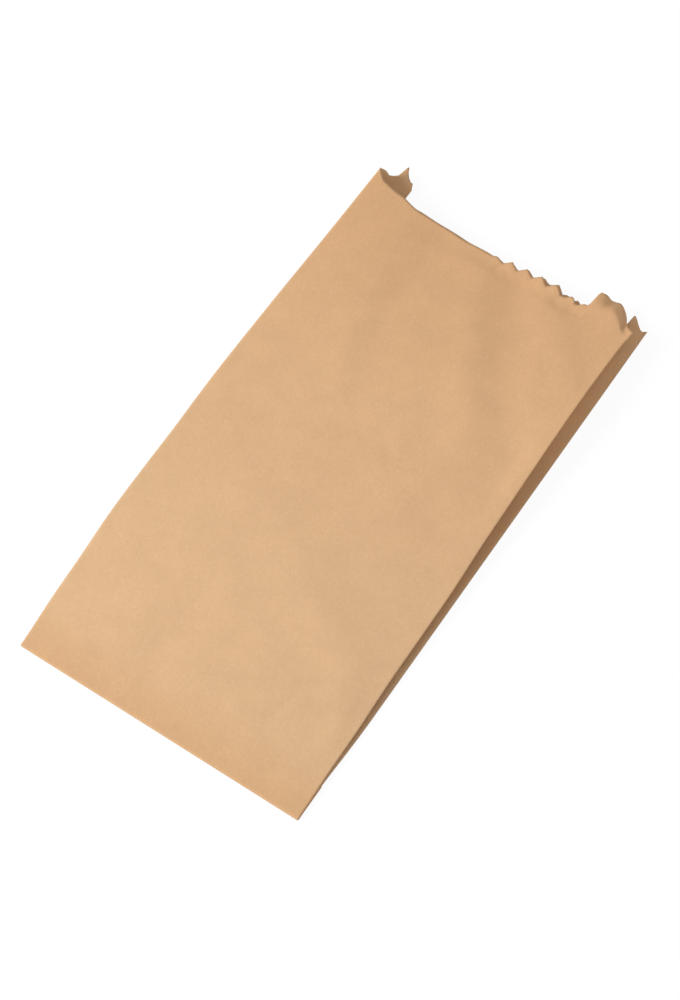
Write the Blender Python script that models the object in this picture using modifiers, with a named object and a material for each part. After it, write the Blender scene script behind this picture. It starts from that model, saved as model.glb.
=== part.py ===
"""A side-gusseted kraft paper bag, lying on its back as it comes to rest.

The bag is one sheet of paper. It is folded into a flattened tube with a front panel,
a back panel and an inward pleat, the gusset, down each side. Its long edges lap and are
glued down the middle of the back. The bottom end is folded under the back and glued.
The mouth end is cut with a toothed knife. The bag was opened a little and laid down,
so its panels stand apart, soon after the bottom along the left side and further up along the
right side, and its mouth gapes at both corners.

X runs across the bag, Y along it from the folded bottom to the mouth, and Z up.
The sheet is modelled as its middle surface and given its thickness by a Solidify modifier.
"""
import math

import bmesh
import bpy

MM = 0.001

# Driving sizes of the sheet, in metres
BAG_WIDTH = 150.0 * MM
BAG_LENGTH = 296.0 * MM
GUSSET_DEPTH = 19.0 * MM
PAPER = 0.12 * MM
PLY_GAP = 0.15 * MM
SEAM_LAP = 12.0 * MM
SEAM_FROM_LEFT = 84.0 * MM
BOTTOM_FLAP = 18.0 * MM
GLUE_BAND = 10.0 * MM
GLUE_FROM_FOLD = 4.0 * MM
GLUE_MARGIN = 1.0 * MM

# The knife's teeth: valleys lie a pitch apart, counted from the left fold. The cut is nearly
# clean at the left, and past the teeth the paper is torn off in a plain lobe
TOOTH_PITCH = 8.15 * MM
TOOTH_HEIGHT = 2.7 * MM
FIRST_VALLEY = 3.1 * MM
CLEAN_CUT_SHARE = 0.1
CLEAN_CUT_END = 68.0 * MM
CLEAN_CUT_FADE = 12.0 * MM
TORN_FROM = 107.0 * MM
TORN_FADE = 6.0 * MM

# How the bag was left standing open
LEFT_LIFT = 17.0 * MM
LEFT_RISE = 88.0 * MM
LEFT_SHIFT = 2.2 * MM
LEFT_SHIFT_AT_MOUTH = 1.0 * MM
PANEL_CROWN = 1.5 * MM
MOUTH_BLEND = 110.0 * MM
RAMP_AFTER_FLAP = 30.0 * MM
SEAM_STEP_RUN = 0.3 * MM
SEAM_SETTLE = 8.0 * MM

# The front panel's right fold, from the bottom to the mouth: share of the length, and height
# above the flat stack of plies
RIGHT_FOLD = (
    (0.00, 0.0),
    (0.10, 1.7 * MM),
    (0.25, 3.5 * MM),
    (0.40, 5.7 * MM),
    (0.50, 8.4 * MM),
    (0.60, 11.5 * MM),
    (0.70, 15.0 * MM),
    (0.78, 17.2 * MM),
    (0.86, 17.0 * MM),
    (1.00, 14.8 * MM),
)

# The front panel's mouth edge, from its left fold to its right fold: share of the width,
# height above the back panel, and how far it is cut past (+) or short of (-) the length
FRONT_MOUTH = (
    (0.00, 17.0 * MM, 0.4 * MM),
    (0.03, 16.7 * MM, -4.3 * MM),
    (0.09, 15.6 * MM, -6.2 * MM),
    (0.16, 13.3 * MM, -7.4 * MM),
    (0.24, 10.4 * MM, -7.6 * MM),
    (0.34, 8.2 * MM, -7.2 * MM),
    (0.50, 7.2 * MM, -6.8 * MM),
    (0.66, 7.8 * MM, -6.2 * MM),
    (0.76, 9.6 * MM, -8.4 * MM),
    (0.80, 10.5 * MM, -8.2 * MM),
    (0.85, 11.8 * MM, 3.0 * MM),
    (0.92, 13.5 * MM, 1.4 * MM),
    (0.96, 14.8 * MM, -4.6 * MM),
    (1.00, 15.6 * MM, -11.0 * MM),
)

# The back panel's mouth edge, from its left fold to its right fold: share of the width, and cut
BACK_MOUTH = (
    (0.00, -3.0 * MM),
    (0.10, -1.8 * MM),
    (0.16, -1.2 * MM),
    (0.30, -2.3 * MM),
    (0.55, -1.9 * MM),
    (0.68, -1.9 * MM),
    (0.76, -3.2 * MM),
    (0.82, -1.8 * MM),
    (0.94, -2.2 * MM),
    (1.00, 1.2 * MM),
)

# The gusset leaves' mouth edges: share of the leaf from its outer fold to its inner fold,
# and how far it is cut past or short of the length
LEFT_UPPER_MOUTH = (
    (0.00, 0.4 * MM),
    (0.16, 2.1 * MM),
    (0.38, 3.4 * MM),
    (0.59, 12.6 * MM),
    (0.80, 8.4 * MM),
    (1.00, 5.8 * MM),
)
LEFT_LOWER_MOUTH = (
    (0.00, -3.0 * MM),
    (1.00, 0.0),
)
RIGHT_UPPER_MOUTH = (
    (0.00, -11.0 * MM),
    (0.50, -6.0 * MM),
    (1.00, -3.0 * MM),
)
RIGHT_LOWER_MOUTH = (
    (0.00, 0.8 * MM),
    (0.22, 0.2 * MM),
    (0.44, 3.0 * MM),
    (0.65, -6.0 * MM),
    (1.00, -6.0 * MM),
)

# Mesh steps
BEND_STEPS = 4
FLAP_STEPS = 2
BODY_STEPS = 20
END_CROWDING = 0.4

# What follows from the driving sizes
PLY_STEP = PAPER + PLY_GAP
FOLD_RADIUS = PLY_STEP / 2
FLAT_STACK = 3 * PLY_STEP
BOTTOM_STACK = 4 * PLY_STEP
SEAM_LEFT = SEAM_FROM_LEFT - SEAM_LAP / 2
SEAM_RIGHT = SEAM_FROM_LEFT + SEAM_LAP / 2


def smooth(t):
    """Goes from 0 to 1 and is level at both."""
    t = min(1.0, max(0.0, t))
    return t * t * (3 - 2 * t)


def along(points, t, column):
    """A column of a short list of points at t, on a smooth curve through the points."""
    last = len(points) - 1
    at = next((i for i in range(last) if t <= points[i + 1][0]), last - 1)
    before, low, high, after = (points[max(0, min(last, at + k))] for k in (-1, 0, 1, 2))
    run = high[0] - low[0]
    share = min(1.0, max(0.0, (t - low[0]) / run))
    low_slope = (high[column] - before[column]) / (high[0] - before[0]) * run
    high_slope = (after[column] - low[column]) / (after[0] - low[0]) * run
    rise = smooth(share)
    leave = share * (1 - share) ** 2
    arrive = share ** 2 * (1 - share)
    return low[column] * (1 - rise) + high[column] * rise + low_slope * leave - high_slope * arrive


# How the panels lie

def back_height(y):
    """The back panel's paper climbs onto the folded bottom and lies on the ground beyond it."""
    return PAPER / 2 + BOTTOM_STACK * (1 - smooth((y - BOTTOM_FLAP) / RAMP_AFTER_FLAP))


def left_lift(y):
    """Height of the front panel's left fold above the back panel."""
    return FLAT_STACK + (LEFT_LIFT - FLAT_STACK) * math.tanh(y / LEFT_RISE)


def right_lift(y):
    """Height of the front panel's right fold above the back panel."""
    return FLAT_STACK + along(RIGHT_FOLD, y / BAG_LENGTH, 1)


def left_shift(y):
    """How far the front panel's left fold lies outside the back panel's."""
    share = y / BAG_LENGTH
    return LEFT_SHIFT * smooth(2 * share) - (LEFT_SHIFT - LEFT_SHIFT_AT_MOUTH) * smooth(2 * share - 1)


def front_height(y, u):
    """Height of the front panel at y, at u along its width from the left fold."""
    share = u / BAG_WIDTH
    crown = PANEL_CROWN * math.sin(math.pi * y / BAG_LENGTH) * math.sin(math.pi * share)
    plain = left_lift(y) * (1 - share) + right_lift(y) * share + crown
    blend = smooth((y - BAG_LENGTH + MOUTH_BLEND) / MOUTH_BLEND)
    return back_height(y) + plain * (1 - blend) + along(FRONT_MOUTH, share, 1) * blend


def front_line(y, widths):
    """The front panel's cross-section, with each step as long as the paper between its points."""
    x = -BAG_WIDTH / 2 - left_shift(y)
    height = front_height(y, 0)
    line = [(x, height)]
    for low, high in zip(widths, widths[1:]):
        next_height = front_height(y, high)
        x += math.sqrt(max((high - low) ** 2 - (next_height - height) ** 2, 0.0))
        height = next_height
        line.append((x, height))
    return line


def back_line(y, widths):
    """The back panel's cross-section: flat, with the upper ply of the lap riding on the lower."""
    line = []
    for u in widths:
        height = back_height(y)
        if SEAM_LEFT < u < SEAM_RIGHT:
            height += PAPER / 2
        elif u >= SEAM_RIGHT:
            height += PAPER * (1 - smooth((u - SEAM_RIGHT) / SEAM_SETTLE))
        line.append((u - BAG_WIDTH / 2, height))
    return line


def inner_fold(top, bottom, side):
    """Where the two leaves of a gusset meet, a leaf's width from both outer folds."""
    half_x = (top[0] - bottom[0]) / 2
    half_z = (top[1] - bottom[1]) / 2
    half = math.hypot(half_x, half_z)
    reach = math.sqrt(max(GUSSET_DEPTH ** 2 - half ** 2, 0.0))
    x = top[0] - half_x - side * reach * half_z / half
    z = top[1] - half_z + side * reach * half_x / half
    lowest = bottom[1] + FOLD_RADIUS
    if z < lowest:
        z = lowest
        x = top[0] - side * math.sqrt(GUSSET_DEPTH ** 2 - (top[1] - z) ** 2)
    return x, z


def leaf_line(outer, inner, widths):
    """A gusset leaf, straight from its outer fold to its inner fold."""
    shares = [width / GUSSET_DEPTH for width in widths]
    return [(outer[0] + (inner[0] - outer[0]) * s, outer[1] + (inner[1] - outer[1]) * s) for s in shares]


def gusset(upper, lower, tips):
    """One value for each point of a gusset, from the front panel's fold to the back panel's."""
    return [tips[0], *upper, tips[1], *reversed(lower), tips[2]]


def loop_of(front, right, back, left):
    """Goes once round the sheet: front panel, right gusset, back panel, left gusset."""
    return [*front, *right, *reversed(back), *reversed(left)]


def gusset_points(front_end, back_end, side, widths):
    top = (front_end[0], front_end[1] - PLY_STEP)
    bottom = (back_end[0], back_end[1] + PLY_STEP)
    x, z = inner_fold(top, bottom, side)
    upper = leaf_line(top, (x, z + FOLD_RADIUS), widths)
    lower = leaf_line(bottom, (x, z - FOLD_RADIUS), widths)
    tips = [
        (front_end[0] + side * FOLD_RADIUS, front_end[1] - FOLD_RADIUS),
        (x - side * FOLD_RADIUS, z),
        (back_end[0] + side * FOLD_RADIUS, back_end[1] + FOLD_RADIUS),
    ]
    return gusset(upper, lower, tips)


def section(y, widths):
    """The whole loop of paper at y, as X and Z.

    widths holds the distances along the front and back panels and along each side's leaves.
    """
    front = front_line(y, widths["front"])
    back = back_line(y, widths["back"])
    right = gusset_points(front[-1], back[-1], 1, widths["right"])
    left = gusset_points(front[0], back[0], -1, widths["left"])
    return loop_of(front, right, back, left)


# The toothed cut

def tooth(u):
    """The knife's zigzag at u across the flat bag, from its valleys up to its tips."""
    phase = ((u - FIRST_VALLEY) / TOOTH_PITCH) % 1.0
    zigzag = 1 - abs(2 * phase - 1)
    rough = smooth((u - CLEAN_CUT_END) / CLEAN_CUT_FADE)
    share = CLEAN_CUT_SHARE + (1 - CLEAN_CUT_SHARE) * rough
    return TOOTH_HEIGHT * (zigzag - 0.5) * share * (1 - smooth((u - TORN_FROM) / TORN_FADE))


def leaf_cut(upper_points, lower_points, widths):
    upper = [along(upper_points, width / GUSSET_DEPTH, 1) for width in widths]
    lower = [along(lower_points, width / GUSSET_DEPTH, 1) for width in widths]
    return gusset(upper, lower, (upper[0], upper[-1], lower[0]))


def mouth_cut(widths):
    """How far each point of the loop is cut past the bag's length."""
    front = [along(FRONT_MOUTH, u / BAG_WIDTH, 2) + tooth(u) for u in widths["front"]]
    back = [along(BACK_MOUTH, u / BAG_WIDTH, 1) + tooth(u) for u in widths["back"]]
    right = leaf_cut(RIGHT_UPPER_MOUTH, RIGHT_LOWER_MOUTH, widths["right"])
    left = leaf_cut(LEFT_UPPER_MOUTH, LEFT_LOWER_MOUTH, widths["left"])
    return loop_of(front, right, back, left)


def valleys(width, start):
    """Distances of the knife's valleys that lie well inside a panel."""
    margin = TOOTH_PITCH / 4
    first = start % TOOTH_PITCH
    count = int(width / TOOTH_PITCH) + 1
    found = [first + k * TOOTH_PITCH for k in range(count)]
    return [u for u in found if margin < u < width - margin]


def long_lines():
    """Where the sheet's long lines run: at the folds, the knife's valleys and the lap's two edges."""
    across = valleys(BAG_WIDTH, FIRST_VALLEY)
    half_run = SEAM_STEP_RUN / 2
    seam = [edge + step for edge in (SEAM_LEFT, SEAM_RIGHT) for step in (-half_run, half_run)]
    seam.append(SEAM_RIGHT + SEAM_SETTLE)
    clear = [u for u in across if min(abs(u - s) for s in seam) > TOOTH_PITCH / 4]
    return {
        "front": [0.0, *across, BAG_WIDTH],
        "back": sorted([0.0, *clear, *seam, BAG_WIDTH]),
        "right": [0.0, *valleys(GUSSET_DEPTH, BAG_WIDTH - FIRST_VALLEY), GUSSET_DEPTH],
        "left": [0.0, *valleys(GUSSET_DEPTH, FIRST_VALLEY), GUSSET_DEPTH],
    }


def with_tips(widths):
    """Adds each tooth's tip between two valleys, for the mouth edge alone."""
    full = []
    for low, high in zip(widths, widths[1:]):
        full.append(low)
        if high - low > TOOTH_PITCH / 2:
            full.append((low + high) / 2)
    full.append(widths[-1])
    return full


def long_line_ends(widths, full):
    """The places along the full mouth edge where the sheet's long lines end."""
    found = {name: [width in widths[name] for width in full[name]] for name in full}
    folds = (True, True, True)
    right = gusset(found["right"], found["right"], folds)
    left = gusset(found["left"], found["left"], folds)
    marks = loop_of(found["front"], right, found["back"], left)
    return [index for index, mark in enumerate(marks) if mark]


def ply_shares(widths):
    """Share of the lap's double thickness at each point of the loop."""
    front = [0.5] * len(widths["front"])
    back = [1.0 if SEAM_LEFT < u < SEAM_RIGHT else 0.5 for u in widths["back"]]
    right = [0.5] * (2 * len(widths["right"]) + 3)
    left = [0.5] * (2 * len(widths["left"]) + 3)
    return loop_of(front, right, back, left)


# Rows of the sheet from the flap's end round the bottom fold to the mouth

def flap_rows(widths):
    """The flattened end, turned under the back panel: all its plies go round one fold."""
    rest = section(0.0, widths)
    base = back_height(0.0)
    centre = base - FOLD_RADIUS
    radii = [z - centre for _, z in rest]
    rows = []
    for step in range(FLAP_STEPS):
        y = BOTTOM_FLAP * (FLAP_STEPS - step) / FLAP_STEPS
        rows.append([(x, y, centre - radius) for (x, _), radius in zip(rest, radii)])
    for step in range(BEND_STEPS):
        angle = math.pi * (BEND_STEPS - step) / BEND_STEPS
        turned = [(-radius * math.sin(angle), centre + radius * math.cos(angle)) for radius in radii]
        rows.append([(x, y, z) for (x, _), (y, z) in zip(rest, turned)])
    return rows


def body_rows(widths):
    """Sections from the bottom fold up to the last one below the mouth."""
    rows = []
    for step in range(BODY_STEPS):
        even = step / BODY_STEPS
        crowded = (1 - math.cos(math.pi * even)) / 2
        y = BAG_LENGTH * (even * (1 - END_CROWDING) + crowded * END_CROWDING)
        rows.append([(x, y, z) for x, z in section(y, widths)])
    return rows


def mouth_row(widths):
    loop = section(BAG_LENGTH, widths)
    return [(x, BAG_LENGTH + cut, z) for (x, z), cut in zip(loop, mouth_cut(widths))]


def sheet_mesh(widths, full):
    """The middle of the paper: a grid of quads, with one more point in each tooth of the mouth."""
    sheet = bmesh.new()
    grid = [[sheet.verts.new(point) for point in row] for row in flap_rows(widths) + body_rows(widths)]
    rim = [sheet.verts.new(point) for point in mouth_row(full)]
    count = len(grid[0])
    for low, high in zip(grid, grid[1:]):
        for i in range(count):
            j = (i + 1) % count
            sheet.faces.new((low[i], low[j], high[j], high[i]))
    ends = long_line_ends(widths, full) + [len(rim)]
    for i in range(count):
        edge = [rim[k % len(rim)] for k in range(ends[i], ends[i + 1] + 1)]
        sheet.faces.new((grid[-1][i], grid[-1][(i + 1) % count], *reversed(edge)))
    bmesh.ops.triangulate(sheet, faces=sheet.faces)
    bmesh.ops.recalc_face_normals(sheet, faces=sheet.faces)
    mesh = bpy.data.meshes.new("paper_bag")
    sheet.to_mesh(mesh)
    sheet.free()
    return mesh, len(grid)


def kraft_paper():
    material = bpy.data.materials.new("kraft_paper")
    material.use_nodes = True
    shader = material.node_tree.nodes["Principled BSDF"]
    shader.inputs["Base Color"].default_value = (0.69, 0.44, 0.24, 1.0)
    shader.inputs["Roughness"].default_value = 0.8
    shader.inputs["Metallic"].default_value = 0.0
    return material


def make_bag(collection):
    widths = long_lines()
    full = {name: with_tips(values) for name, values in widths.items()}
    mesh, row_count = sheet_mesh(widths, full)
    bag = bpy.data.objects.new("paper_bag", mesh)
    collection.objects.link(bag)
    bag.data.materials.append(kraft_paper())
    plies = bag.vertex_groups.new(name="plies")
    for index, share in enumerate(ply_shares(widths) * row_count + ply_shares(full)):
        plies.add([index], share, "REPLACE")
    paper = bag.modifiers.new("paper", "SOLIDIFY")
    paper.thickness = 2 * PAPER
    paper.offset = 0.0
    paper.use_even_offset = True
    paper.use_quality_normals = True
    paper.vertex_group = plies.name
    return bag


def glue_bottom(bag, cutters):
    """The glue line across the flap bonds its plies and the back panel into one."""
    bottom = PAPER / 2
    top = back_height(0.0)
    bpy.ops.mesh.primitive_cube_add(size=1.0)
    glue = bpy.context.object
    glue.name = "glue_line"
    glue.scale = (BAG_WIDTH - 2 * GLUE_MARGIN, GLUE_BAND, top - bottom)
    glue.location = (0.0, GLUE_FROM_FOLD + GLUE_BAND / 2, (top + bottom) / 2)
    glue.hide_render = True
    glue.display_type = "WIRE"
    glue.parent = bag
    for owner in list(glue.users_collection):
        owner.objects.unlink(glue)
    cutters.objects.link(glue)
    bond = bag.modifiers.new("glue", "BOOLEAN")
    bond.operation = "UNION"
    bond.object = glue


def stand_on_origin(bag):
    """Puts the origin at the middle of the bag's outline, on the ground."""
    across = [vertex.co.x for vertex in bag.data.vertices]
    lengthways = [vertex.co.y for vertex in bag.data.vertices]
    bag.location.x = -(min(across) + max(across)) / 2
    bag.location.y = -(min(lengthways) + max(lengthways)) / 2


def main():
    for old in list(bpy.data.objects):
        bpy.data.objects.remove(old, do_unlink=True)
    collection = bpy.data.collections.new("paper_bag")
    cutters = bpy.data.collections.new("cutters")
    bpy.context.scene.collection.children.link(collection)
    bpy.context.scene.collection.children.link(cutters)
    bag = make_bag(collection)
    glue_bottom(bag, cutters)
    stand_on_origin(bag)


main()
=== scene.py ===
# %% [markdown]
# # A kraft paper bag, opened a little and laid on its back
#
# The real bag is one sheet of brown kraft paper. A machine folds it into a flat tube with
# an inward pleat, the gusset, down each side, and laps and glues its long edges near the
# middle of the back. The bottom end is folded over and glued, and a toothed knife cuts the
# mouth. Here the bag lies on its back panel and gapes a little at both mouth corners.
#
# The CAD part gives the bag its place and its size. It is loaded first, so that everything
# below is made around it, in the same metres.

# %% Load the CAD part
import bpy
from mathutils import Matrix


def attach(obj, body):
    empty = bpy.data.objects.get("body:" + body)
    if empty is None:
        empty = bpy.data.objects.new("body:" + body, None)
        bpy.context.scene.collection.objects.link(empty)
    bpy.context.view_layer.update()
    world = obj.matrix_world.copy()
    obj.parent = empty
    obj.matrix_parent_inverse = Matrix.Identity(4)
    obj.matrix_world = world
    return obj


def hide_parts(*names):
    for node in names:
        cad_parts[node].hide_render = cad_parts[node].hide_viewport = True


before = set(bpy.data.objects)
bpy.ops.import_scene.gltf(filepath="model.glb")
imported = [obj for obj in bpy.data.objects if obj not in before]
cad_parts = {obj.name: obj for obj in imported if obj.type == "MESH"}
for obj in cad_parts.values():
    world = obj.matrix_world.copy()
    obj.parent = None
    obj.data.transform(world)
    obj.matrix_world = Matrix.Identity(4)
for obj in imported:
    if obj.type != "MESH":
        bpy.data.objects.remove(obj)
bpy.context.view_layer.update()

# %% [markdown]
# Blender's own `bpy` makes the meshes and materials. The points of the sheet are worked out
# with numpy, which handles a whole row of the mesh at once, where a loop over single points
# would be slower and longer to read. Lengths below are in mm, and `MM` turns them into metres.

# %% Tools for numbers, meshes and files
import math

import bpy
import numpy as np
from mathutils import Vector

MM = 0.001
print("Blender", bpy.app.version_string, "and numpy", np.__version__)

# %% [markdown]
# ## The sheet's sizes
#
# Every size of a folded bag comes from a few numbers on the flat sheet: how wide the bag
# is, how long, and how deep the gussets go. They are the CAD part's own sizes, in
# millimetres. `PLACE` is where the middle of the bottom fold lies in the part's frame.

# %% Sizes of the flat bag, in mm
WIDTH = 150.0
LENGTH = 296.0
GUSSET = 19.0
PAPER = 0.12
PLY_GAP = 0.15
FLAP = 18.0
SEAM = (78.0, 90.0)
PLACE = np.array([1.1, -153.839, 0.0])

PLY_STEP = PAPER + PLY_GAP
FOLD_RADIUS = PLY_STEP / 2
FLAT_STACK = 3 * PLY_STEP
BOTTOM_STACK = 4 * PLY_STEP
sheet_width = 2 * WIDTH + 4 * GUSSET + SEAM[1] - SEAM[0]
print("Flat sheet:", sheet_width, "mm round by", LENGTH + FLAP, "mm long")

# %% [markdown]
# ## Smooth lines through a few points
#
# Paper bends in long, even curves. `smooth` is the gentlest step from 0 to 1. `curve` draws
# a smooth line through a short list of points, so a mouth edge or a fold can be described
# by the few places where a maker would measure it.

# %% Two helpers for smooth lines
def smooth(t):
    t = np.clip(t, 0.0, 1.0)
    return t * t * (3 - 2 * t)


def curve(points, t):
    """Value at t of a smooth line through (place, value) points."""
    place, value = np.array(points, dtype=float).T
    slope = np.gradient(value, place)
    i = np.clip(np.searchsorted(place, t, side="right") - 1, 0, len(place) - 2)
    run = place[i + 1] - place[i]
    s = np.clip((t - place[i]) / run, 0.0, 1.0)
    bend = slope[i] * s * (1 - s) ** 2 - slope[i + 1] * s ** 2 * (1 - s)
    return value[i] * (1 - smooth(s)) + value[i + 1] * smooth(s) + run * bend


print("Half way up the step:", float(smooth(0.5)))

# %% [markdown]
# ## How the two panels lie
#
# The back panel lies flat, but it first has to climb down from the folded bottom, which is
# four plies thick. The front panel stands off it. Its left fold was pulled open to 17 mm,
# and is most of the way up by a third of the length. Its right fold rises slowly, stands
# about 18 mm high some 55 mm before the mouth, and comes down again to 15.6 mm. The lists
# give the lift above the back panel. Toward the mouth its own heights, further down, take over.

# %% Heights of the back panel and of the front panel's folds
BACK_RAMP = 30.0


def back_height(y):
    return PAPER / 2 + BOTTOM_STACK * (1 - smooth((y - FLAP) / BACK_RAMP))


LEFT_LIFT = [
    (0, FLAT_STACK), (15, 2.6), (30, 5.0), (50, 8.2), (75, 11.4), (100, 13.6), (130, 15.4),
    (160, 16.4), (200, 17.0), (296, 17.0),
]
RIGHT_LIFT = [
    (0, FLAT_STACK), (40, 3.0), (70, 4.2), (100, 5.4), (127, 7.2), (158, 10.2), (188, 13.4),
    (214, 16.6), (240, 20.0), (260, 21.5), (280, 20.4), (296, 15.6),
]


def left_lift(y):
    return curve(LEFT_LIFT, y)


def right_lift(y):
    return curve(RIGHT_LIFT, y)


for y in (50.0, 150.0, 250.0):
    lifts = round(float(left_lift(y)), 1), round(float(right_lift(y)), 1)
    print("At", y, "mm the folds are lifted", lifts[0], "and", lifts[1], "mm")

# %% [markdown]
# The panels aren't equally wide everywhere. The front panel's left fold lies a little outside
# the back panel's. The bottom fold draws the bag in, so both panels widen as they leave it,
# and the front one narrows again toward the mouth. Each is a short list, as for the heights.

# %% How far the panels move and spread sideways, in mm
LEFT_SHIFT = [
    (0, -0.3), (25, 0.9), (50, 1.5), (73, 2.2), (98, 2.1), (123, 1.9), (148, 2.3), (200, 2.0),
    (250, 1.3), (296, 1.0),
]
FRONT_SPREAD = [
    (0, 0.0), (40, 0.9), (120, 0.9), (180, 0.4), (225, -0.2), (262, -0.3), (285, 0.1), (296, 0.4),
]
BACK_SPREAD = 1.1
SPREAD_RUN = 60.0


def left_shift(y):
    """How far the front panel's left fold lies outside the back panel's."""
    return curve(LEFT_SHIFT, y)


def back_spread(y):
    """How much wider the back panel is than at the bottom fold."""
    return BACK_SPREAD * smooth(y / SPREAD_RUN)


print("Left fold past the back panel half way up:", round(float(left_shift(LENGTH / 2)), 1), "mm")

# %% [markdown]
# ## The mouth's own shape
#
# At the mouth the front panel sags between its two raised corners, and it was cut unevenly.
# The cut slants in from the left corner and then runs 9 mm short, nearly clean up to the
# middle and toothed past it. At the right it ends in a torn lobe that stands proud. Each
# edge is a short list of points in mm. The height goes by the distance from the left fold,
# and a cut goes by X from the middle of the back panel. A sculpted edge would look the same,
# but a list can be measured and changed.

# %% Mouth edges, measured across the bag
MOUTH_HEIGHT = [
    (0, 17.0), (6, 16.8), (12, 16.4), (18, 15.9), (24, 15.2), (30, 14.5), (38, 13.6), (48, 12.7),
    (60, 12.0), (75, 11.7), (90, 11.8), (102, 12.2), (112, 12.7), (122, 13.4), (132, 14.1), (141, 14.8),
    (150, 15.6),
]
FRONT_CUT = [
    (-76, 0.6), (-75.5, -0.2), (-73.5, -2.4), (-70.8, -4.7), (-67.3, -5.7), (-61.5, -6.9),
    (-56.5, -7.4), (-53.4, -8.3), (-47.7, -9.4), (-41.3, -9.4), (-35.5, -9.3), (-29.8, -9.2),
    (-20.8, -9.8), (-12.7, -9.3), (-7.5, -9.4), (-1, -9.3), (5.2, -9.0), (13.5, -8.5), (21.5, -8.3),
    (26.3, -8.8), (29.4, -8.7), (32.1, -8.4), (33.8, -10.2), (36.4, -10.8), (40.0, -8.7), (42.4, -11.5),
    (46.8, -9.2), (48.3, -8.6), (48.6, -7.6), (48.9, -3.7), (49.3, -1.0), (50.9, 1.0), (52.6, 1.7),
    (55.4, 1.5), (57.4, 2.5), (59.1, 3.5), (62.1, 2.1), (64.8, -0.7), (66.4, -2.9), (68.9, -7.5),
    (72.8, -11.0),
]
BACK_CUT = [
    (-75, -3.0), (-62, -2.2), (-56, -0.8), (-52, -0.6), (-48, -0.9), (-42, -1.4), (-30.7, -1.9),
    (-21.8, -2.6), (-13.7, -2.4), (-1.5, -2.8), (5, -2.3), (15, -1.2), (28.7, -0.9), (33.2, -2.2),
    (35.8, -3.3), (39.4, -1.8), (41.8, -3.8), (46.4, -1.8), (54, -2.4), (66, -2.3), (69.5, -1.8),
    (71.5, -0.8), (73.6, 0.6), (75, 1.5), (76.5, 1.9),
]
print("The lobe stands", max(cut for _, cut in FRONT_CUT), "mm past the bag's length")

# %% [markdown]
# The gusset leaves were torn too. The left upper leaf ends in a point that shows past the
# front panel. The right upper leaf was torn off short, so it stays clear of the lobe above
# it. These lists go by the distance from the leaf's outer fold. The left lower leaf was cut
# straight and needs none.

# %% Mouth edges of the gusset leaves, measured from the outer fold
LEFT_LEAF_CUT = [
    (0, 0.4), (1, 1.1), (4.4, 3.0), (10.2, 5.1), (11.8, 6.9), (12.7, 9.4), (13.0, 12.4), (13.35, 15.1),
    (13.8, 14.6), (14.4, 12.8), (15.5, 10.7), (17.3, 8.7), (18.7, 7.6), (19, 5.8),
]
RIGHT_LEAF_CUT = [(0, -11.0), (4, -14.0), (10, -15.0), (15, -12.0), (19, -8.0)]
RIGHT_LOWER_CUT = [
    (0, 0.3), (1.2, -0.5), (2.4, -0.8), (3.5, -0.3), (4.5, 0.3), (6.0, 1.5), (7.4, 2.7), (8.4, 3.0),
    (8.9, 2.3), (9.3, -3.0), (10.2, -9.0), (12.0, -12.0), (19, -12.0),
]
print("The left leaf's point stands", max(cut for _, cut in LEFT_LEAF_CUT), "mm past the length")

# %% [markdown]
# The knife's teeth are a zigzag of 8 mm. The left part of the cut came out nearly clean,
# and past the middle the teeth stand up to 3 mm high, so their height grows across the bag.
# The torn lobe has none.

# %% The toothed knife
TOOTH_PITCH = 8.15
TOOTH_DEPTH = 3.0
FIRST_VALLEY = 3.8
BACK_VALLEY = -0.3
TEETH_FROM, TEETH_GROW = 68.0, 12.0
TORN_FROM, TORN_FADE = 107.0, 6.0


def zigzag(u, valley=FIRST_VALLEY):
    """1 at each tooth's tip and 0 in each valley."""
    return 1 - np.abs(2 * (((u - valley) / TOOTH_PITCH) % 1.0) - 1)


def ragged(u):
    """How deep the teeth are, as a share: none at the left, and none on the torn lobe."""
    return smooth((u - TEETH_FROM) / TEETH_GROW) - smooth((u - TORN_FROM) / TORN_FADE)


def tooth(u, valley=FIRST_VALLEY):
    return TOOTH_DEPTH * ragged(u) * (zigzag(u, valley) - 0.5)


print("Teeth across the bag:", round(WIDTH / TOOTH_PITCH, 1))

# %% [markdown]
# ## Creases, dents and soft folds
#
# A bag that has been opened and laid down keeps soft buckles in its front panel. Each is a
# stroke: a line on the paper, how wide it is, and how far it stands out or in. They are real
# bends of the sheet, because only a bend gives the light and dark sides that the eye reads
# as paper. They fade out at the folds, where the plies are pressed together.

# %% Strokes on the front panel: points across and along, width and height in mm
STROKES = [
    ([(30, 290), (30, 255), (38, 222), (48, 190)], 9.0, 0.3),
    ([(46, 290), (44, 255), (52, 222), (60, 190)], 9.0, -0.3),
    ([(72, 276), (79, 258), (88, 240), (94, 225), (106, 210), (117, 194), (116, 176), (102, 156)],
     11.0, 0.72),
    ([(93, 278), (101, 259), (110, 241), (117, 225), (128, 210), (139, 194), (138, 176), (125, 152)],
     11.0, -0.9),
    ([(108, 276), (126, 260), (142, 246)], 9.0, 0.75),
    ([(48, 118), (68, 110), (94, 92), (116, 78), (129, 74), (148, 38)], 11.0, 0.6),
    ([(57, 62), (57, 24), (70, 4)], 8.0, -0.5),
    ([(119, 50), (114, 27)], 1.6, -0.2),
    ([(84, 174), (91, 166)], 3.0, -0.15),
]
SIDE_FADE = 10.0
BOTTOM_FADE = 25.0


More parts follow.
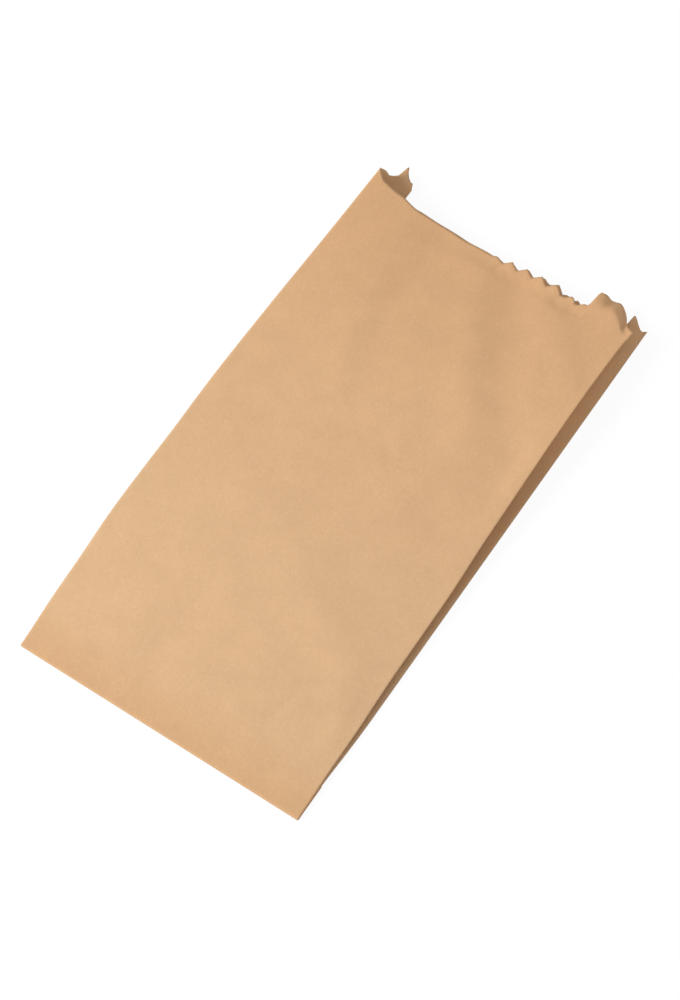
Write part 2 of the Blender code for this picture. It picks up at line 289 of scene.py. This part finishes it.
def distance(points, u, y):
    """Distance of each (u, y) from a line of points."""
    nearest = np.full(np.broadcast(u, y).shape, 1e9)
    for (u0, y0), (u1, y1) in zip(points, points[1:]):
        run_u, run_y = u1 - u0, y1 - y0
        t = ((u - u0) * run_u + (y - y0) * run_y) / (run_u ** 2 + run_y ** 2)
        t = np.clip(t, 0.0, 1.0)
        nearest = np.minimum(nearest, np.hypot(u - u0 - t * run_u, y - y0 - t * run_y))
    return nearest


def relief(u, y):
    height = sum(h * np.exp(-(distance(points, u, y) / w) ** 2) for points, w, h in STROKES)
    edge = smooth(u / SIDE_FADE) * smooth((WIDTH - u) / SIDE_FADE) * smooth(y / BOTTOM_FADE)
    return height * edge


print("Deepest stroke:", min(h for _, _, h in STROKES), "mm")

# %% [markdown]
# ## One cross-section
#
# Cutting the bag across shows the sheet as one line. It starts at the free edge inside the
# lap, runs right under the bag, folds up and in through the right gusset, goes back left
# along the front panel, down through the left gusset, and ends at the outer edge of the lap.
# A cloth simulation could fold the sheet too, but it would not keep the measured folds. So
# the line is worked out, with each step along the front panel as long as the paper between
# its points. Half way up the bag the panel is arched by 1.5 mm, its crown, and over the last
# 110 mm it takes the mouth's heights. Where it sags its right fold is drawn in, as in the
# real bag.

# %% The front panel and the back panel
SAG_REACH = 110.0
CROWN = 1.5
LAP_GAP = 0.01
SEAM_SETTLE = 8.0


def front_height(y, u):
    share = u / WIDTH
    crown = CROWN * np.sin(np.pi * y / LENGTH) * np.sin(np.pi * share)
    plain = left_lift(y) * (1 - share) + right_lift(y) * share + crown
    blend = smooth((y - LENGTH + SAG_REACH) / SAG_REACH)
    return back_height(y) + plain * (1 - blend) + curve(MOUTH_HEIGHT, u) * blend + relief(u, y)


def front_line(y, u):
    z = front_height(y, u)
    run = np.sqrt(np.maximum(np.diff(u) ** 2 - np.diff(z) ** 2, 0.0))
    across = np.concatenate([[0.0], np.cumsum(run)]) * (1 + curve(FRONT_SPREAD, y) / WIDTH)
    left = -WIDTH / 2 - left_shift(y)
    return np.stack([left + across, z], axis=1)


def back_line(y, u, upper):
    """A stretch of the back panel. In the lap its right part, upper, lies on its left part."""
    lap = PAPER + LAP_GAP
    rise = lap * (1 - smooth((u - SEAM[1]) / SEAM_SETTLE)) if upper else 0.0 * u
    return np.stack([u * (1 + back_spread(y) / WIDTH) - WIDTH / 2, back_height(y) + rise], axis=1)


half_way = front_height(LENGTH / 2, np.array([WIDTH / 2]))
print("The middle of the front panel stands", round(float(half_way[0]), 1), "mm high")

# %% [markdown]
# A gusset's two leaves are equally wide, so its inner fold lies where two circles of a
# leaf's width meet, one about each outer fold. Where the bag is nearly flat that point would
# be under the back panel, and then the lower leaf simply lies on it. It can't rise through
# the front panel either, so that sets a ceiling. Bones and a rig could turn the leaves too,
# but here the two circles give the place at once.

# %% The inner fold of a gusset
def inner_fold(top, bottom, side, hang, ceiling):
    """Where the leaves meet. side is 1 at the right and -1 at the left."""
    half = (top - bottom) / 2
    across = np.hypot(*half)
    reach = math.sqrt(max(GUSSET ** 2 - across ** 2, 0.0)) / across
    z = top[1] - half[1] + side * reach * half[0] - hang
    lowest = bottom[1] + FOLD_RADIUS
    highest = ceiling - PLY_STEP - FOLD_RADIUS
    z = max(min(z, highest), lowest)
    x = top[0] - side * math.sqrt(GUSSET ** 2 - (top[1] - z) ** 2)
    return np.array([x, z])


corners = np.array([75.0, 16.0]), np.array([75.0, 0.5])
print("Inner fold below a fold 16 mm high:", inner_fold(*corners, 1, 0.0, 16.0).round(1))

# %% [markdown]
# The leaves run straight from fold to fold, and the sharp folds get three points each, which
# is enough for a crease only 0.3 mm across. Near the mouth they were bent when the bag was
# opened. The left upper leaf has a second crease, set toward the bag's side, so the leaf
# drops steeply from its outer fold. The left inner fold hangs 6.5 mm lower and lies 1.7 mm
# further in, and both lower leaves bulge up by 2 to 3 mm. Each bend is a list of places
# across the leaf, each with its offset sideways and upward, in mm.

# %% The gussets
LEFT_HANG = 6.5
LEFT_FLARE = 1.7
LEFT_UPPER_BEND = [
    (0, 0, 0), (3.5, -1.6, -0.8), (7, -3.2, -1.6), (10.5, -4.9, -2.3), (13, -3.5, -1.6),
    (16, -1.7, -0.8), (19, 0, 0),
]
LEFT_LOWER_BEND = [(0, 0, 0), (5, 0, 1.6), (9, 0, 2.0), (14, 0, 1.3), (19, 0, 0)]
RIGHT_LOWER_BEND = [(0, 0, 0), (3, 0, 1.5), (6, 0, 2.5), (9, 0, 2.8), (14, 0, 1.6), (19, 0, 0)]


def bend(points, w):
    """Sideways and upward offsets across a leaf."""
    across, sideways, upward = zip(*points)
    return np.stack([curve(list(zip(across, sideways)), w), curve(list(zip(across, upward)), w)], axis=1)


def leaf(outer, inner, w, offsets):
    """A leaf from its outer to its inner fold, bent between them."""
    return outer + (inner - outer) * (w / GUSSET)[:, None] + offsets


def gusset_line(front_end, back_end, side, w, upper_bend, lower_bend, hang, flare, ceiling):
    top = front_end - [0, PLY_STEP]
    bottom = back_end + [0, PLY_STEP]
    inner = inner_fold(top, bottom, side, hang, ceiling) - [side * flare, 0]
    upper = leaf(top, inner + [0, FOLD_RADIUS], w, upper_bend)
    lower = leaf(bottom, inner - [0, FOLD_RADIUS], w, lower_bend)
    round_top = front_end + [side * FOLD_RADIUS, -FOLD_RADIUS]
    round_inner = inner - [side * FOLD_RADIUS, 0]
    round_bottom = back_end + [side * FOLD_RADIUS, FOLD_RADIUS]
    return np.vstack([round_top, upper, round_inner, lower[::-1], round_bottom])


print("The second crease is set", -min(sideways for _, sideways, _ in LEFT_UPPER_BEND), "mm outward")

# %% [markdown]
# ## The grid of the sheet
#
# The columns of the mesh run along the folds. Their spacing is a share of the knife's pitch,
# so that every tooth gets a point at its tip and in its valley. The torn lobe takes even
# columns of 0.73 mm, the creased part of the leaves closer ones, and the hidden back panel
# coarser ones. A finer grid everywhere would be heavier and look no better.

# %% Columns of the sheet
LOBE_START = 118.0


def columns(first, last, step, offset=FIRST_VALLEY):
    """Distances from first to last that hit the knife's valleys."""
    low = math.ceil((first - offset) / step + 0.3)
    high = math.floor((last - offset) / step - 0.3)
    inside = offset + step * np.arange(low, high + 1)
    return np.concatenate([[first], inside, [last]])


fine, coarse = TOOTH_PITCH / 6, TOOTH_PITCH / 4
past_lap = SEAM[1] + SEAM_SETTLE
FRONT = np.concatenate([columns(0.0, LOBE_START, fine)[:-1], np.linspace(LOBE_START, WIDTH, 45)])
LEAF = np.concatenate([np.linspace(0, 8, 7), np.linspace(8.4, 16, 20), np.linspace(17, 19, 3)])
BACK_LEFT = columns(0.0, SEAM[1], coarse, BACK_VALLEY)
LAP = np.linspace(SEAM[0], past_lap, 12)
BACK_RIGHT = np.concatenate([LAP, columns(past_lap, WIDTH, coarse, BACK_VALLEY)[1:]])
print("Columns on the front panel:", len(FRONT))

# %% [markdown]
# One section joins the panels and the gussets into a single run of points from edge to edge.
# The bends of the leaves grow over the last 70 mm before the mouth. Separate sheets for the
# panels and leaves would leave seams where the real paper only folds.

# %% One section as a single run of points
BEND_FROM, BEND_RUN = 225.0, 70.0


def section(y):
    front = front_line(y, FRONT)
    back_left = back_line(y, BACK_LEFT, False)
    back_right = back_line(y, BACK_RIGHT, True)
    near_mouth = smooth((y - BEND_FROM) / BEND_RUN)
    right_bends = np.zeros((len(LEAF), 2)), near_mouth * bend(RIGHT_LOWER_BEND, LEAF)
    left_bends = near_mouth * bend(LEFT_UPPER_BEND, LEAF), near_mouth * bend(LEFT_LOWER_BEND, LEAF)
    over_left, over_right = np.interp([GUSSET, WIDTH - GUSSET], FRONT, front[:, 1])
    right = gusset_line(front[-1], back_right[-1], 1, LEAF, *right_bends, 0.0, 0.0, over_right)
    hang, flare = LEFT_HANG * near_mouth, LEFT_FLARE * near_mouth
    left = gusset_line(front[0], back_left[0], -1, LEAF, *left_bends, hang, flare, over_left)
    return np.vstack([back_right, right[::-1], front[::-1], left, back_left])


print("Points round the bag:", len(section(LENGTH)))

# %% [markdown]
# The mouth's cut moves the last rows along the sheet. Each column has its own cut, and the
# push fades over the last 24 mm, which is long enough for the rows to stay in order where
# the cut is deepest. A boolean cut would leave ragged triangles at such a thin edge.

# %% The cut of each column at the mouth
CUT_REACH = 24.0


def gusset_cut(upper, lower, back_end):
    """The cut of a gusset's columns, from its front fold round to its back fold."""
    return np.concatenate([[upper[0]], upper, [upper[-1]], lower[::-1], [back_end]])


def mouth_cut():
    x = front_line(LENGTH, FRONT)[:, 0]
    front = curve(FRONT_CUT, x) + tooth(FRONT)
    back_left = curve(BACK_CUT, BACK_LEFT - WIDTH / 2) + tooth(BACK_LEFT, BACK_VALLEY)
    back_right = curve(BACK_CUT, BACK_RIGHT - WIDTH / 2) + tooth(BACK_RIGHT, BACK_VALLEY)
    left = gusset_cut(curve(LEFT_LEAF_CUT, LEAF), 0.0 * LEAF, back_left[0])
    right = gusset_cut(curve(RIGHT_LEAF_CUT, LEAF), curve(RIGHT_LOWER_CUT, LEAF), back_right[-1])
    return np.concatenate([back_right, right[::-1], front[::-1], left, back_left])


print("Deepest cut:", round(float(mouth_cut().min()), 1), "mm")

# %% [markdown]
# Cut paper doesn't end flat. The tips of the teeth curl up a little, and the torn lobe rolls
# down toward the gusset, which turns its right side away from the light. Both are lifts of
# the last 9 mm of the columns, so they need no extra mesh.

# %% Curled tips and the rolled lobe
TEETH_CURL = 0.6
LOBE_ROLL = 6.5
LOBE_LEFT, LOBE_FALL, LOBE_RETURN = 124.5, 12.0, 11.0
CURL_REACH = 9.0


def tip_curl():
    lift = TEETH_CURL * zigzag(FRONT) * np.clip(ragged(FRONT), 0.0, 1.0)
    lift -= LOBE_ROLL * smooth((FRONT - LOBE_LEFT) / LOBE_FALL) * smooth((WIDTH - FRONT) / LOBE_RETURN)
    before = len(BACK_RIGHT) + 2 * len(LEAF) + 3
    after = 2 * len(LEAF) + 3 + len(BACK_LEFT)
    return np.concatenate([np.zeros(before), lift[::-1], np.zeros(after)])


print("The lobe rolls down", round(-float(tip_curl().min()), 1), "mm")

# %% [markdown]
# The rows go up the bag from the end of the flap. The flap is the flat tube turned under the
# back, so every ply of it goes round the same centre. The rows stand closer at the bottom
# fold and at the mouth, where the sheet bends most.

# %% Rows from the flap's end, round the bottom fold and up to the mouth
BOTTOM_RUN = 12.0


def flap_rows():
    rest = section(0.0)
    centre = back_height(0.0) - FOLD_RADIUS
    radius = rest[:, 1] - centre
    rows = []
    for y in np.linspace(FLAP, 0.0, 7)[:-1]:
        rows.append(np.stack([rest[:, 0], np.full(len(rest), y), centre - radius], axis=1))
    for angle in np.linspace(math.pi, 0.0, 9)[:-1]:
        y = -radius * math.sin(angle)
        rows.append(np.stack([rest[:, 0], y, centre + radius * math.cos(angle)], axis=1))
    return rows


def body_rows():
    cut = mouth_cut()
    curl = tip_curl()
    bottom = np.linspace(0, BOTTOM_RUN, 9)[:-1]
    middle = np.linspace(BOTTOM_RUN, LENGTH - CUT_REACH, 104)[:-1]
    rows = []
    for y in np.concatenate([bottom, middle, np.linspace(LENGTH - CUT_REACH, LENGTH, 17)]):
        line = section(y)
        along = y + cut * smooth((y - LENGTH + CUT_REACH) / CUT_REACH)
        height = line[:, 1] + curl * smooth((y - LENGTH + CURL_REACH) / CURL_REACH)
        rows.append(np.stack([line[:, 0], along, height], axis=1))
    return rows


rows = np.array(flap_rows() + body_rows())
print("Grid of", rows.shape[0], "rows by", rows.shape[1], "columns")

# %% [markdown]
# ## The paper itself
#
# The grid is the middle of the sheet. A Solidify modifier gives it the 0.12 mm of 70 gram
# kraft paper, on both sides equally, and closes it at the mouth, the flap and the lap, so the
# bag is one real sheet with cut edges. A single surface would do for the picture, but its
# edges would be lines without thickness.

# %% Build the sheet
def grid_mesh(name, grid):
    count, width = grid.shape[:2]
    points = ((grid + PLACE) * MM).reshape(-1, 3)
    index = np.arange(count * width).reshape(count, width)
    corners = [index[:-1, :-1], index[:-1, 1:], index[1:, 1:], index[1:, :-1]]
    faces = np.stack(corners, axis=-1).reshape(-1, 4)
    mesh = bpy.data.meshes.new(name)
    mesh.from_pydata(points.tolist(), [], faces.tolist())
    mesh.shade_smooth()
    return mesh


bag = bpy.data.objects.new("kraft_sheet", grid_mesh("kraft_sheet", rows))
bpy.context.scene.collection.objects.link(bag)
thickness = bag.modifiers.new("paper", "SOLIDIFY")
thickness.thickness = PAPER * MM
thickness.offset = 0.0
thickness.use_even_offset = False
thickness.use_quality_normals = True
print("Triangles:", 4 * len(bag.data.polygons))

# %% [markdown]
# ## Kraft paper
#
# Brown kraft is unbleached wood pulp: long, strong fibres that are pressed, not coated. The
# eye sees a matt tan surface, faintly cloudy where the pulp lay thicker, with paler and
# darker fibres. Scanned paper would show the same, but nodes keep their real size on any
# sheet, and the colours can be changed.

# %% Colours and one small helper for nodes
def linear(hex_colour):
    """An sRGB hex colour as the linear colour that a shader takes."""
    parts = [int(hex_colour[i:i + 2], 16) / 255 for i in (1, 3, 5)]
    return [c / 12.92 if c <= 0.04045 else ((c + 0.055) / 1.055) ** 2.4 for c in parts] + [1.0]


def add(tree, kind, links=None, **settings):
    """Adds a node, sets its own settings, and sets or links the inputs in links."""
    node = tree.nodes.new(kind)
    for name, value in settings.items():
        setattr(node, name, value)
    for name, value in (links or {}).items():
        if isinstance(value, bpy.types.NodeSocket):
            tree.links.new(value, node.inputs[name])
        else:
            node.inputs[name].default_value = value
    return node


print("Kraft tan in linear light:", [round(c, 3) for c in linear("#d8b086")[:3]])

# %% [markdown]
# The tone changes a little along the bag. Over the bottom flap it is darker, partly for the glue
# and the four pressed plies there and partly as painted shade that dims the bottom end. Toward the
# mouth it turns darker and more orange, as painted shade for the light falling off there. The
# pulp's clouds are 5 to 20 mm across.

# %% Tone along the bag, with painted shade at both ends, and clouds in the pulp
CLOUDING = 0.045
kraft = bpy.data.materials.new("kraft_paper_uncoated")
kraft.use_nodes = True
tree = kraft.node_tree
shader = tree.nodes["Principled BSDF"]
place = add(tree, "ShaderNodeTexCoord").outputs["Object"]
along = add(tree, "ShaderNodeSeparateXYZ", {"Vector": place}).outputs["Y"]

# Painted shade: the darker tone over the bottom flap is partly glue and pressed plies, partly shade
# painted on the bottom end.
glue_and_shade_ends = {"Value": along, "From Min": -154 * MM, "From Max": -126 * MM}
glue_and_shade_ramp = add(tree, "ShaderNodeMapRange", glue_and_shade_ends, interpolation_type="SMOOTHSTEP")
tones = {"Factor": glue_and_shade_ramp.outputs["Result"], "A": linear("#d1a67a"), "B": linear("#d8b086")}
glue_and_shade_tone = add(tree, "ShaderNodeMix", tones, data_type="RGBA")

# Painted shade: the tone turns darker and more orange toward the mouth, where the light falls off.
mouth_shade_ends = {"Value": along, "From Min": -60 * MM, "From Max": 140 * MM}
painted_shade_to_mouth = add(tree, "ShaderNodeMapRange", mouth_shade_ends)
tones = {"Factor": painted_shade_to_mouth.outputs["Result"], "A": glue_and_shade_tone.outputs["Result"], "B": linear("#d8a97b")}
base = add(tree, "ShaderNodeMix", tones, data_type="RGBA")

cloud = {"Vector": place, "Scale": 1 / (14 * MM), "Detail": 4.0, "Roughness": 0.6}
cloud = add(tree, "ShaderNodeTexNoise", cloud).outputs["Fac"]
swing = {"To Min": 1 - CLOUDING, "To Max": 1 + CLOUDING}
depth = {"Value": cloud, "From Min": 0.25, "From Max": 0.75, **swing}
pulp = add(tree, "ShaderNodeMapRange", depth).outputs["Result"]
clouded = {0: base.outputs["Result"], 1: pulp}
tone = add(tree, "ShaderNodeVectorMath", clouded, operation="MULTIPLY").outputs["Vector"]
print("Clouds change the tone by", CLOUDING, "either way")

# %% [markdown]
# Fibres are 2 to 3 mm long and only 0.03 mm wide. They are drawn 0.25 mm wide, as coarse as
# they need to be to show. Real ones lie every way round. Four stretched noises, two pale and
# two dark, each turned another way, give that look without drawing single fibres.

# %% Fibres
def fibres(angle, seed):
    """Thin streaks, one way round, as a factor from 0 to 1."""
    turn = {"Vector": place, "Rotation": (0, 0, math.radians(angle)), "Location": (seed, seed, 0)}
    turned = add(tree, "ShaderNodeMapping", turn).outputs[0]
    stretch = {"Vector": turned, "Scale": (1 / (0.25 * MM), 1 / (3 * MM), 1 / (1 * MM))}
    stretched = add(tree, "ShaderNodeMapping", stretch).outputs[0]
    noise = add(tree, "ShaderNodeTexNoise", {"Vector": stretched, "Scale": 1.0, "Detail": 1.0})
    ramp = {"Value": noise.outputs["Fac"], "From Min": 0.60, "From Max": 0.72}
    return add(tree, "ShaderNodeMapRange", ramp).outputs["Result"]


def crossed(first, second):
    return add(tree, "ShaderNodeMath", {0: first, 1: second}, operation="MAXIMUM").outputs[0]


def tinted(under, amount, share, colour):
    """The colour under, mixed with a share of another where amount is high."""
    part = add(tree, "ShaderNodeMath", {0: amount, 1: share}, operation="MULTIPLY").outputs[0]
    mix = {"Factor": part, "A": under, "B": linear(colour)}
    return add(tree, "ShaderNodeMix", mix, data_type="RGBA").outputs["Result"]


pale = crossed(fibres(18, 1), fibres(-64, 2))
dark = crossed(fibres(-24, 3), fibres(71, 4))
with_pale = tinted(tone, pale, 0.22, "#f0d4ae")
with_dark = tinted(with_pale, dark, 0.20, "#b98a5c")
tree.links.new(with_dark, shader.inputs["Base Color"])
print("Nodes so far:", len(tree.nodes))

# %% [markdown]
# Uncoated paper has a roughness of about 0.8, which spreads any highlight so far that none is
# seen, and the IOR of cellulose, about 1.5. Its open fibres trap part of what a closed
# surface would reflect, so the specular level is below the usual half. The grain is finer
# than the mesh, so it is a bump, 0.03 mm high.

# %% Roughness and grain
shader.inputs["Roughness"].default_value = 0.8
shader.inputs["IOR"].default_value = 1.5
shader.inputs["Specular IOR Level"].default_value = 0.3

grain = add(tree, "ShaderNodeTexNoise", {"Vector": place, "Scale": 1 / (0.5 * MM), "Detail": 3.0})
felt = add(tree, "ShaderNodeMath", {0: grain.outputs["Fac"], 1: pale}, operation="ADD").outputs[0]
bump = add(tree, "ShaderNodeBump", {"Height": felt, "Strength": 0.25, "Distance": 0.03 * MM})
tree.links.new(bump.outputs["Normal"], shader.inputs["Normal"])

bag.data.materials.append(kraft)
print("Material:", kraft.name, "with", len(tree.nodes), "nodes")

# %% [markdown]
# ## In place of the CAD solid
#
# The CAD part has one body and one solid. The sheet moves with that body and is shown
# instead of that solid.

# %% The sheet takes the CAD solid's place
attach(bag, "root")
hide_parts("paper_bag")
print(bag.name, "stands for paper_bag")

# %% [markdown]
# ## A white studio
#
# The bag was photographed on plain white. The floor is a pale card that catches a soft
# shadow. What the camera sees of it is mostly its own white glow, so that it reads as paper
# white while the bag still gets only the light of the softbox and the room. The room behind
# it is white to the camera in the same way. A white backdrop with more lamps would also
# work, but it would throw its own light on the bag.

# %% The floor
def seen_directly(tree):
    """1 for what the camera sees, also in a mirror or through glass, and 0 for lighting."""
    ray = add(tree, "ShaderNodeLightPath").outputs
    either = {0: ray["Is Camera Ray"], 1: ray["Is Glossy Ray"]}
    either = add(tree, "ShaderNodeMath", either, operation="MAXIMUM").outputs[0]
    any_of_them = {0: either, 1: ray["Is Transmission Ray"]}
    return add(tree, "ShaderNodeMath", any_of_them, operation="MAXIMUM").outputs[0]


def white_card():
    card = bpy.data.materials.new("white_card")
    card.use_nodes = True
    nodes = card.node_tree
    nodes.nodes.clear()
    matt = add(nodes, "ShaderNodeBsdfDiffuse", {"Color": linear("#f4f4f4")}).outputs[0]
    dim = add(nodes, "ShaderNodeBsdfDiffuse", {"Color": linear("#505050")}).outputs[0]
    glow = add(nodes, "ShaderNodeEmission", {"Color": linear("#ffffff"), "Strength": 0.93}).outputs[0]
    lit = add(nodes, "ShaderNodeAddShader", {0: dim, 1: glow}).outputs[0]
    mix = add(nodes, "ShaderNodeMixShader", {0: seen_directly(nodes), 1: matt, 2: lit}).outputs[0]
    add(nodes, "ShaderNodeOutputMaterial", {"Surface": mix})
    return card


bpy.ops.mesh.primitive_plane_add(size=6.0, location=(0, 0, -0.0002))
floor = bpy.context.object
floor.name = "floor_card"
floor.data.materials.append(white_card())
print("Floor:", [round(side, 1) for side in floor.dimensions[:2]], "m")

# %% [markdown]
# ## Light
#
# The white room lights everything from all round, at about half strength, so that no shade
# goes black. To the camera it looks fully white. A sun lamp with a sky would do the same, but
# its blue would tint the paper.

# %% The room
ROOM_LIGHT = 0.52
world = bpy.data.worlds.new("white_room")
world.use_nodes = True
backdrop = world.node_tree.nodes["Background"]
backdrop.inputs["Color"].default_value = (1, 1, 1, 1)
strength = {"Value": seen_directly(world.node_tree), "To Min": ROOM_LIGHT, "To Max": 1.0}
strength = add(world.node_tree, "ShaderNodeMapRange", strength).outputs["Result"]
world.node_tree.links.new(strength, backdrop.inputs["Strength"])
bpy.context.scene.world = world
print("Room light:", ROOM_LIGHT)

# %% [markdown]
# One large softbox stands some 40 degrees up, beyond the bag's left bottom corner. Its light
# crosses the sheet at a slant, so the buckles show, and the right gusset and the inside of
# the mouth lie in shade. A lamp straight above would light the sheet as evenly as a scan.

# %% The softbox
def aim(thing, where, target):
    thing.location = where
    thing.rotation_euler = (Vector(target) - Vector(where)).to_track_quat("-Z", "Y").to_euler()


lamp = bpy.data.lights.new("softbox_left", "AREA")
lamp.shape = "SQUARE"
lamp.size = 0.8
lamp.energy = 46.4
softbox = bpy.data.objects.new("softbox_left", lamp)
bpy.context.scene.collection.objects.link(softbox)
aim(softbox, (-1.37, -1.30, 1.6), (0.0, -0.02, 0.0))
print("Softbox:", round(softbox.location.length, 2), "m away")

# %% [markdown]
# ## Camera
#
# The photograph looks down steeply, about 63 degrees above the table, and 34 degrees round
# to the bag's right. A 94 mm lens gives its mild perspective: the far end is a little
# smaller. Standard view transform shows the colours as they were written.

# %% Camera
eye = bpy.data.cameras.new("camera")
eye.lens = 93.6
eye.sensor_width = 36.0
eye.clip_end = 20.0
camera = bpy.data.objects.new("camera", eye)
bpy.context.scene.collection.objects.link(camera)
around, above, far = math.radians(33.59), math.radians(62.64), 1.2051
look_at = np.array([0.00475, -0.01332, 0.0])
flat = math.cos(above)
back = np.array([math.sin(around) * flat, -math.cos(around) * flat, math.sin(above)])
aim(camera, tuple(look_at + far * back), tuple(look_at))
bpy.context.scene.camera = camera
bpy.context.scene.view_settings.view_transform = "Standard"
print("Camera at", [round(c, 3) for c in camera.location])
